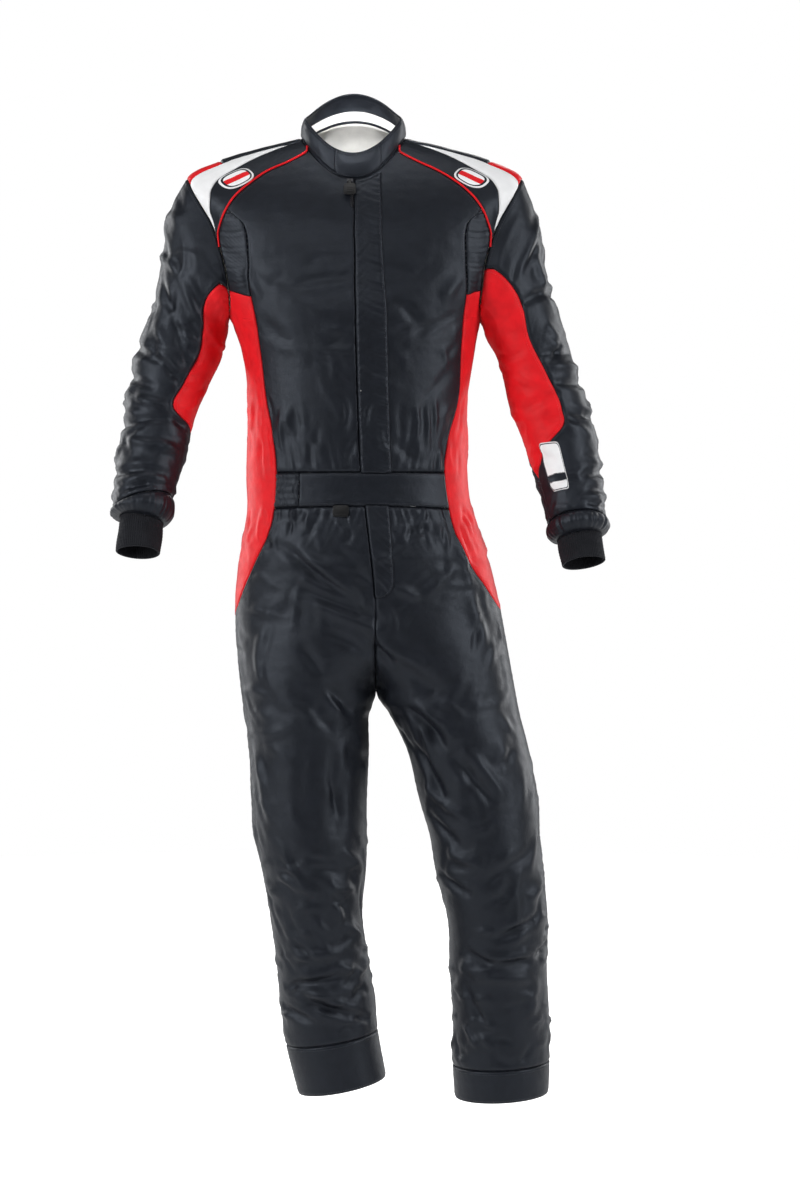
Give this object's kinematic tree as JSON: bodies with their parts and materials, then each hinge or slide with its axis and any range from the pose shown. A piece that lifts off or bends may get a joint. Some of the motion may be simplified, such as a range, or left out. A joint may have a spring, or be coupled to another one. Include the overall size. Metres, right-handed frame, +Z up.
{
  "type": "racing suit",
  "caption": "One-piece racing suit in black cloth with red side and under-sleeve panels, white shoulder panels, stand collar, front zip, elastic belt and knitted cuffs, filled out as if worn.",
  "frame": {"origin": "where the wearer's neck and shoulders hold the suit up: the middle of the neck seam, at the height of the shoulder ridge", "axes": "+Z up the suit, towards the collar; -Y out of the front; +X to the wearer's left"},
  "size_m": [0.7375, 0.2567, 1.5138],
  "materials": {
    "black_cloth": "smooth quilted cloth with a soft sheen",
    "red_cloth": "smooth cloth with a soft sheen",
    "white_cloth": "smooth cloth",
    "lining_cloth": "soft off-white lining",
    "knit": "ribbed knit",
    "rubber": "moulded, matt",
    "black_metal": "black enamel"
  },
  "bodies": {
    "suit": {"armhole_strip_left": "black_cloth", "armhole_strip_right": "black_cloth", "back": "black_cloth", "belt_elastic_back": "black_cloth", "belt_elastic_front": "black_cloth", "belt_front": "black_cloth", "belt_tab": "rubber", "collar": "black_cloth", "collar_flap": "black_cloth", "fly": "black_cloth", "front_left": "black_cloth", "front_right": "black_cloth", "hem_band_left": "black_cloth", "hem_band_right": "black_cloth", "knit_cuff_left": "knit", "knit_cuff_right": "knit", "leg_back_left": "black_cloth", "leg_back_right": "black_cloth", "leg_front_left": "black_cloth", "leg_front_right": "black_cloth", "neck_lining": "lining_cloth", "piping_left": "red_cloth", "piping_right": "red_cloth", "shoulder_badge_left": "white_cloth", "shoulder_badge_right": "white_cloth", "shoulder_strap_left": "black_cloth", "shoulder_strap_right": "black_cloth", "side_gusset_left": "red_cloth", "side_gusset_right": "red_cloth", "sleeve_label": "white_cloth", "strap_end_left": "red_cloth", "strap_end_right": "red_cloth", "top_sleeve_left": "black_cloth", "top_sleeve_right": "black_cloth", "under_sleeve_left": "red_cloth", "under_sleeve_right": "red_cloth", "white_panel_back_left": "white_cloth", "white_panel_back_right": "white_cloth", "white_panel_front_left": "white_cloth", "white_panel_front_right": "white_cloth", "wrist_casing_left": "black_cloth", "wrist_casing_right": "black_cloth", "yoke_left": "black_cloth", "yoke_right": "black_cloth", "zip_flap": "black_cloth", "zip_slider": "black_metal"},
    "pull_tab": {"zip_pull_tab": "rubber"}
  },
  "joints": [
    {"name": "pull_tab_hinge", "type": "hinge", "parent": "suit", "child": "pull_tab", "pos_m": [-0.00429, -0.07501, -0.06275], "axis": [-1, 0, 0], "range_deg": [0, 110]}
  ]
}
